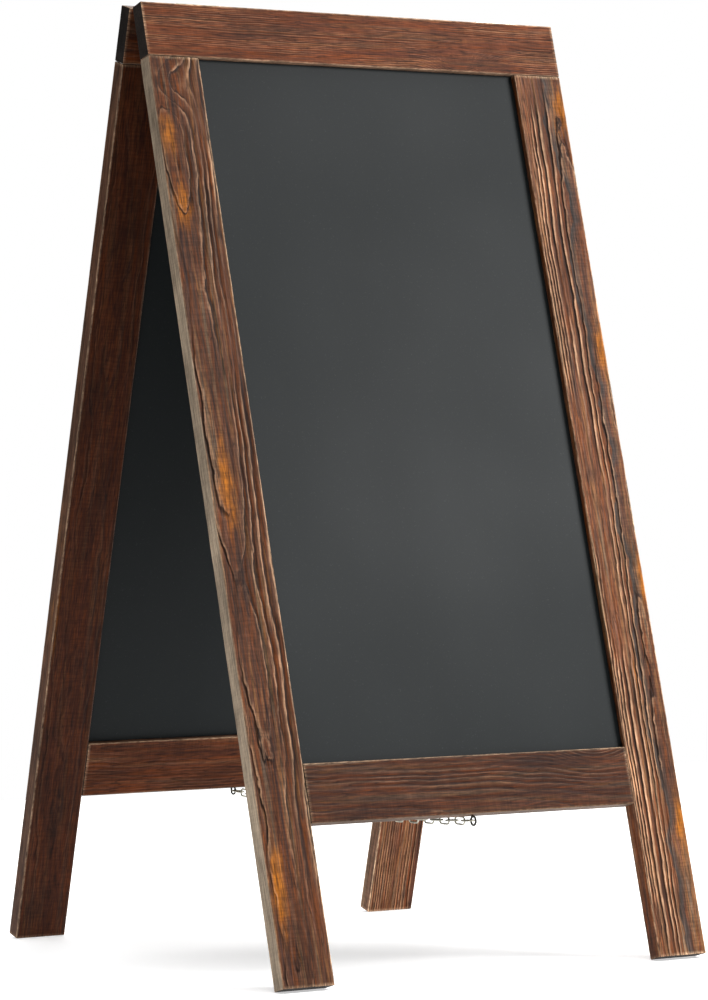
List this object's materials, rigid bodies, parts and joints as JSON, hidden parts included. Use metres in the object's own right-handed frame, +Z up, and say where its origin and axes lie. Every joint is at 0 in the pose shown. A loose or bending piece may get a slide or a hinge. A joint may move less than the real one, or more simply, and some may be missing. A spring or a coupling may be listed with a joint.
{
  "type": "a-frame chalkboard sign",
  "caption": "Free-standing two-sided wooden A-frame: framed chalkboard panels hinged at the top, held open by a chain, folding flat",
  "frame": {"origin": "on the floor, under the middle of the hinge line, with the sign open", "axes": "+Z up, +X along the width to the right as seen from the front, front panel towards -Y"},
  "size_m": [0.508, 0.58, 0.9854],
  "materials": {
    "stained_wood": "softwood, wire-brushed and stained walnut brown, matt",
    "chalkboard": "hardboard painted with satin dark grey-green chalkboard paint",
    "hinge_steel": "zinc-plated pressed steel",
    "screw_steel": "zinc-plated steel",
    "eye_steel": "darkened steel wire",
    "chain_steel": "zinc-plated steel wire"
  },
  "bodies": {
    "front_frame": {"front_top_rail": "stained_wood", "front_left_stile": "stained_wood", "front_right_stile": "stained_wood", "front_bottom_rail": "stained_wood", "front_chalkboard": "chalkboard", "front_chain_eye": "eye_steel", "left_hinge_front_leaf": "hinge_steel", "left_hinge_front_screw_1": "screw_steel", "left_hinge_front_screw_2": "screw_steel", "right_hinge_front_leaf": "hinge_steel", "right_hinge_front_screw_1": "screw_steel", "right_hinge_front_screw_2": "screw_steel", "left_hinge_pin": "hinge_steel", "right_hinge_pin": "hinge_steel"},
    "back_frame": {"back_top_rail": "stained_wood", "back_left_stile": "stained_wood", "back_right_stile": "stained_wood", "back_bottom_rail": "stained_wood", "back_chalkboard": "chalkboard", "back_chain_eye": "eye_steel", "left_hinge_back_leaf": "hinge_steel", "left_hinge_back_screw_1": "screw_steel", "left_hinge_back_screw_2": "screw_steel", "right_hinge_back_leaf": "hinge_steel", "right_hinge_back_screw_1": "screw_steel", "right_hinge_back_screw_2": "screw_steel"},
    "front_chain_drop": {"chain_link_01": "chain_steel", "chain_link_02": "chain_steel", "chain_link_03": "chain_steel", "chain_link_04": "chain_steel", "chain_link_05": "chain_steel", "chain_link_06": "chain_steel", "chain_link_07": "chain_steel", "chain_link_08": "chain_steel"},
    "front_chain_curl": {"chain_link_09": "chain_steel", "chain_link_10": "chain_steel", "chain_link_11": "chain_steel", "chain_link_12": "chain_steel", "chain_link_13": "chain_steel", "chain_link_14": "chain_steel", "chain_link_15": "chain_steel", "chain_link_16": "chain_steel"},
    "back_chain_curl": {"chain_link_17": "chain_steel", "chain_link_18": "chain_steel", "chain_link_19": "chain_steel", "chain_link_20": "chain_steel", "chain_link_21": "chain_steel", "chain_link_22": "chain_steel", "chain_link_23": "chain_steel", "chain_link_24": "chain_steel"},
    "back_chain_drop": {"chain_link_25": "chain_steel", "chain_link_26": "chain_steel", "chain_link_27": "chain_steel", "chain_link_28": "chain_steel", "chain_link_29": "chain_steel", "chain_link_30": "chain_steel", "chain_link_31": "chain_steel", "chain_link_32": "chain_steel", "chain_link_33": "chain_steel"}
  },
  "joints": [
    {"name": "fold", "type": "hinge", "parent": "front_frame", "child": "back_frame", "pos_m": [0, 0, 0.98236], "axis": [-1, 0, 0], "range_deg": [0, 30.8]},
    {"name": "front_chain_drop_swing", "type": "hinge", "parent": "front_frame", "child": "front_chain_drop", "pos_m": [0, -0.24042, 0.15096], "axis": [-1, 0, 0], "range_deg": [0, 87.16]},
    {"name": "front_chain_curl_swing", "type": "hinge", "parent": "front_chain_drop", "child": "front_chain_curl", "pos_m": [0, -0.12114, 0.145], "axis": [-0.0485, -0.0184, -0.9987], "range_deg": [0, 76.97]},
    {"name": "back_chain_drop_swing", "type": "hinge", "parent": "back_frame", "child": "back_chain_drop", "pos_m": [0, 0.24042, 0.15096], "axis": [1, 0, 0], "range_deg": [0, 118.07]},
    {"name": "back_chain_curl_swing", "type": "hinge", "parent": "back_chain_drop", "child": "back_chain_curl", "pos_m": [0, 0.10895, 0.14467], "axis": [-0.2231, 0.0139, -0.9747], "range_deg": [0, 86.64]}
  ],
  "couplings": [
    {"joint": "front_chain_drop_swing", "follows": "fold", "ratio": 2.8296},
    {"joint": "front_chain_curl_swing", "follows": "fold", "ratio": 2.4986},
    {"joint": "back_chain_drop_swing", "follows": "fold", "ratio": 3.8331},
    {"joint": "back_chain_curl_swing", "follows": "fold", "ratio": 2.8128}
  ]
}
